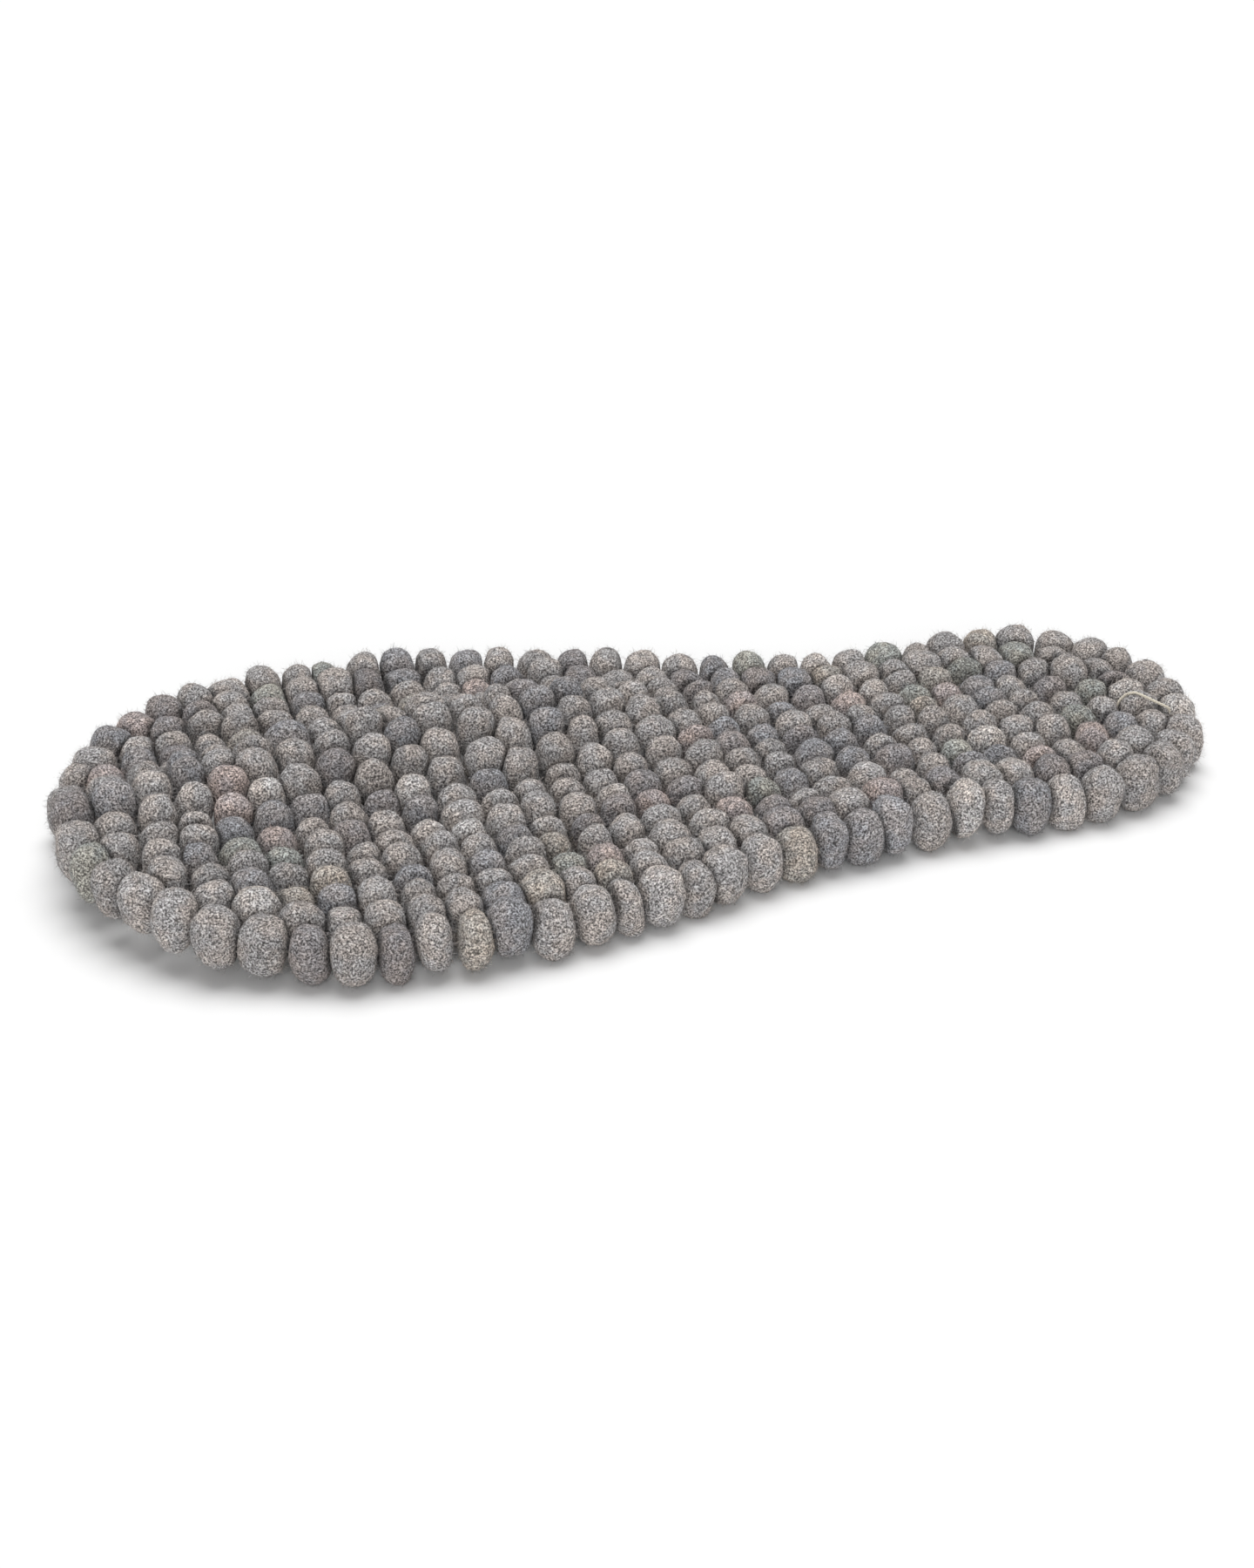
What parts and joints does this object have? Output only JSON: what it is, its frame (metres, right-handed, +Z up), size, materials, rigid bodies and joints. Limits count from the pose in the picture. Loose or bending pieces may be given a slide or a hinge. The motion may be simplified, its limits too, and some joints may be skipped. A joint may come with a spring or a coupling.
{
  "type": "felt ball mat",
  "caption": "Pear-shaped mat of small pressed wool felt balls, strung in rows inside a rim of bigger balls and sewn together with cotton thread.",
  "frame": {"origin": "middle of the mat's footprint on the surface it lies on", "axes": "+X along the mat from the broad lobe to the narrow lobe, +Y towards the side with the ridge, +Z up"},
  "size_m": [0.5998, 0.304, 0.0481],
  "materials": {
    "row_felt": "warm grey marl wool felt, matt and fuzzy, each ball a slightly different shade",
    "rim_felt": "warm grey marl wool felt in taller pressed balls, matt and fuzzy",
    "cotton_thread": "twisted undyed cotton sewing thread, matt"
  },
  "bodies": {
    "panel_1": {"row_01": "row_felt", "row_02": "row_felt", "row_03": "row_felt", "row_04": "row_felt", "row_05": "row_felt", "rim_front_1": "rim_felt", "rim_back_1": "rim_felt", "thread_1": "cotton_thread", "fold_lacing_1": "cotton_thread"},
    "panel_2": {"row_06": "row_felt", "row_07": "row_felt", "row_08": "row_felt", "row_09": "row_felt", "row_10": "row_felt", "rim_front_2": "rim_felt", "rim_back_2": "rim_felt", "thread_2": "cotton_thread", "fold_lacing_2": "cotton_thread"},
    "panel_3": {"row_11": "row_felt", "row_12": "row_felt", "row_13": "row_felt", "row_14": "row_felt", "row_15": "row_felt", "rim_front_3": "rim_felt", "rim_back_3": "rim_felt", "thread_3": "cotton_thread"},
    "panel_4": {"row_16": "row_felt", "row_17": "row_felt", "row_18": "row_felt", "row_19": "row_felt", "row_20": "row_felt", "rim_front_4": "rim_felt", "rim_back_4": "rim_felt", "thread_4": "cotton_thread", "fold_lacing_3": "cotton_thread"},
    "panel_5": {"row_21": "row_felt", "row_22": "row_felt", "row_23": "row_felt", "row_24": "row_felt", "row_25": "row_felt", "rim_front_5": "rim_felt", "rim_back_5": "rim_felt", "thread_5": "cotton_thread", "fold_lacing_4": "cotton_thread"},
    "panel_6": {"row_26": "row_felt", "row_27": "row_felt", "row_28": "row_felt", "row_29": "row_felt", "row_30": "row_felt", "rim_front_6": "rim_felt", "rim_back_6": "rim_felt", "thread_6": "cotton_thread", "fold_lacing_5": "cotton_thread"}
  },
  "joints": [
    {"name": "fold_2", "type": "hinge", "parent": "panel_3", "child": "panel_2", "pos_m": [-0.09305, 0, 0.033], "axis": [0, 1, 0], "range_deg": [0, 25]},
    {"name": "fold_1", "type": "hinge", "parent": "panel_2", "child": "panel_1", "pos_m": [-0.1861, 0, 0.033], "axis": [0, 1, 0], "range_deg": [0, 25]},
    {"name": "fold_3", "type": "hinge", "parent": "panel_3", "child": "panel_4", "pos_m": [0, 0, 0.033], "axis": [0, -1, 0], "range_deg": [0, 25]},
    {"name": "fold_4", "type": "hinge", "parent": "panel_4", "child": "panel_5", "pos_m": [0.09305, 0, 0.033], "axis": [0, -1, 0], "range_deg": [0, 25]},
    {"name": "fold_5", "type": "hinge", "parent": "panel_5", "child": "panel_6", "pos_m": [0.1861, 0, 0.033], "axis": [0, -1, 0], "range_deg": [0, 25]}
  ]
}
